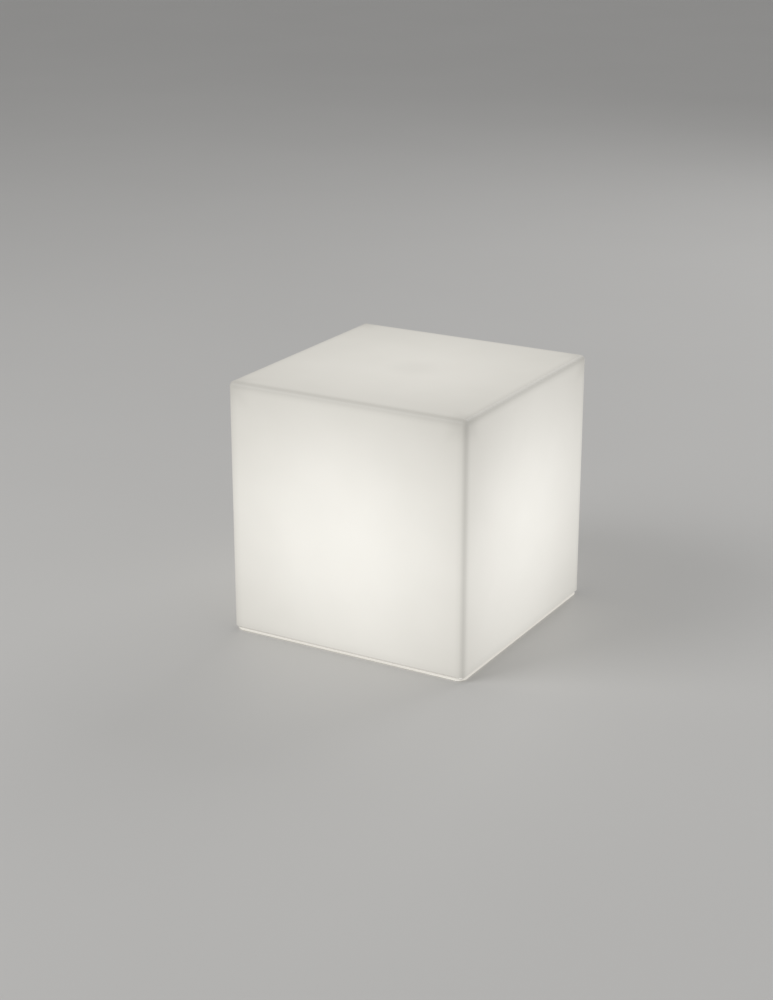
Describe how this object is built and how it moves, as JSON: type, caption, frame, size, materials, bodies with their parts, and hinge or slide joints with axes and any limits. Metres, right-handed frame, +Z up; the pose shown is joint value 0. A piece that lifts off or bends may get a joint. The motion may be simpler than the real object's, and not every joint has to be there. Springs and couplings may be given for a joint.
{
  "type": "led cube light",
  "caption": "Free-standing luminous cube with an opal hood over a sealed base, lit by an LED column, with a press button and a plugged charging socket below.",
  "frame": {"origin": "on the floor under the centre of the cube, level with the feet's undersides", "axes": "+Z up; -Y is the front face, the wide one of the picture; +X is the other face that it shows"},
  "size_m": [0.4, 0.4, 0.4],
  "materials": {
    "hood_opal": "satin rotomoulded opal polyethylene, lit from inside",
    "plate_opal": "satin moulded opal polyethylene",
    "sponge_black": "matte closed-cell sponge",
    "rubber_grey": "matte moulded rubber",
    "silicone_grey": "matte silicone sheet",
    "plug_rubber": "matte moulded rubber",
    "screw_steel": "satin stainless steel",
    "brass": "satin turned brass",
    "nickel": "satin nickel sheet",
    "aluminium_post": "satin brushed aluminium",
    "aluminium_extruded": "satin anodised extruded aluminium",
    "housing_white": "satin moulded white plastic",
    "cover_grey": "satin moulded light grey plastic",
    "bezel_black": "satin moulded black plastic",
    "button_white": "satin moulded white plastic",
    "switch_black": "satin moulded black plastic",
    "plunger_white": "satin moulded white plastic",
    "component_black": "matte moulded epoxy",
    "header_cream": "satin moulded cream plastic",
    "membrane_white": "matte porous film",
    "board_green": "gloss solder mask on fibreglass",
    "led_board_white": "gloss white mask on aluminium",
    "led_phosphor": "gloss phosphor in silicone",
    "led_white": "gloss moulded white plastic",
    "cell_wrap": "gloss blue film over a metal can",
    "pipe_clear": "gloss clear acrylic",
    "tube_opal": "satin extruded opal polycarbonate",
    "wire_black": "satin black insulation"
  },
  "bodies": {
    "root": {"cube_shell": "hood_opal", "shell_inserts": "brass", "base_plate": "plate_opal", "base_seal": "sponge_black", "base_screws": "screw_steel", "foot_front_left": "rubber_grey", "foot_front_right": "rubber_grey", "foot_back_left": "rubber_grey", "foot_back_right": "rubber_grey", "module_housing": "housing_white", "flange_seal": "silicone_grey", "module_cover": "cover_grey", "cover_seal": "silicone_grey", "cover_screws": "screw_steel", "module_screws": "screw_steel", "switch_body": "switch_black", "charge_socket": "switch_black", "socket_pin": "brass", "light_pipe": "pipe_clear", "status_led": "led_white", "vent_plug": "bezel_black", "vent_membrane": "membrane_white", "control_board": "board_green", "board_components": "component_black", "board_headers": "header_cream", "battery_cell_1": "cell_wrap", "battery_cell_2": "cell_wrap", "battery_cell_3": "cell_wrap", "battery_cell_4": "cell_wrap", "nickel_strips": "nickel", "protection_board": "board_green", "battery_pad": "sponge_black", "battery_clamp": "housing_white", "battery_lead": "wire_black", "charge_lead": "wire_black", "led_lead": "wire_black", "lead_grommet": "plug_rubber", "led_post": "aluminium_post", "lamp_dish": "housing_white", "heat_sink": "aluminium_extruded", "led_board_front": "led_board_white", "led_board_right": "led_board_white", "led_board_back": "led_board_white", "led_board_left": "led_board_white", "led_chips": "led_phosphor", "link_board": "board_green", "diffuser_tube": "tube_opal", "lamp_cap": "housing_white", "tie_rod": "screw_steel", "tie_nuts": "screw_steel"},
    "button": {"power_button": "button_white"},
    "plunger": {"switch_plunger": "plunger_white"},
    "plug": {"socket_plug": "plug_rubber"}
  },
  "joints": [
    {"name": "button_press", "type": "slide", "parent": "root", "child": "button", "axis": [0, 0, 1], "range_m": [0, 0.0012], "stiffness_N_per_m": 1600, "springref_m": -0.0006},
    {"name": "plunger_press", "type": "slide", "parent": "root", "child": "plunger", "axis": [0, 0, 1], "range_m": [0, 0.0012]},
    {"name": "plug_pull", "type": "slide", "parent": "root", "child": "plug", "axis": [0, 0, -1], "range_m": [0, 0.006]}
  ],
  "couplings": [
    {"joint": "plunger_press", "follows": "button_press", "ratio": 1}
  ]
}
